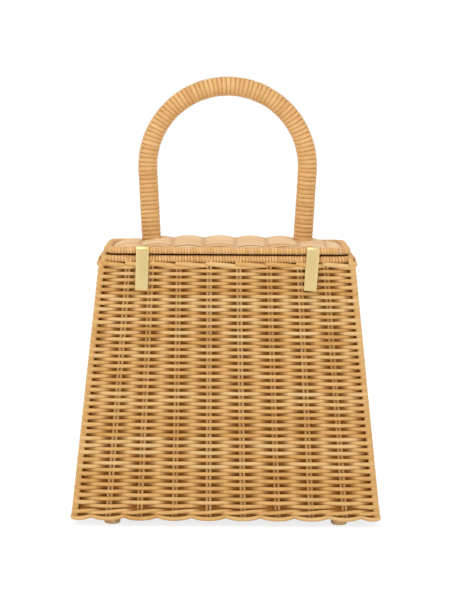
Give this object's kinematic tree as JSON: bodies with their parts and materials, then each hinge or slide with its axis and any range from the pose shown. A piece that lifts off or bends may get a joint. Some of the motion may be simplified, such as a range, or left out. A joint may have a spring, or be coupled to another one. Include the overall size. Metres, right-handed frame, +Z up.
{
  "type": "wicker top-handle bag",
  "caption": "Tapered woven rattan bag with a hinged woven lid, a wound horseshoe handle and strap clasps that hold the lid shut.",
  "frame": {"origin": "on the floor, under the middle of the basket's footprint", "axes": "+X to the right seen from the front, +Y from the front to the back, +Z up"},
  "size_m": [0.2204, 0.1124, 0.3178],
  "materials": {
    "rattan_weave": "honey-coloured peeled cane, lightly varnished",
    "rattan_border": "honey-coloured peeled cane, lightly varnished",
    "cane_binding": "fine flat cane, glossy skin side out",
    "cane_wrap": "flat cane, glossy skin side out",
    "rattan_pole": "plain peeled pole",
    "peg_wood": "plain turned peg",
    "magnet_steel": "nickel-plated block",
    "screw_steel": "zinc-plated",
    "gold_metal": "polished pale gold plating"
  },
  "bodies": {
    "basket": {"basket_walls": "rattan_weave", "base_panel": "rattan_weave", "base_border": "rattan_border", "basket_rim": "cane_binding", "foot_front_left": "peg_wood", "foot_front_right": "peg_wood", "foot_back_left": "peg_wood", "foot_back_right": "peg_wood", "hinge_loop_left": "cane_binding", "hinge_loop_right": "cane_binding", "catch_magnet_left": "magnet_steel", "catch_magnet_right": "magnet_steel"},
    "lid": {"lid_panel": "rattan_weave", "lid_rim": "cane_binding", "handle_core": "rattan_pole", "handle_wrap": "cane_wrap", "lid_rail_left": "rattan_pole", "lid_rail_right": "rattan_pole", "handle_screw_left": "screw_steel", "handle_screw_right": "screw_steel"},
    "left_clasp": {"clasp_strap_left": "gold_metal"},
    "right_clasp": {"clasp_strap_right": "gold_metal"}
  },
  "joints": [
    {"name": "lid_hinge", "type": "hinge", "parent": "basket", "child": "lid", "pos_m": [0, 0.04, 0.1955], "axis": [-1, 0, 0], "range_deg": [0, 110]},
    {"name": "left_clasp_swing", "type": "hinge", "parent": "lid", "child": "left_clasp", "pos_m": [-0.0608, -0.04, 0.1955], "axis": [-1, 0, 0], "range_deg": [0, 150]},
    {"name": "right_clasp_swing", "type": "hinge", "parent": "lid", "child": "right_clasp", "pos_m": [0.0608, -0.04, 0.1955], "axis": [-1, 0, 0], "range_deg": [0, 150]}
  ]
}
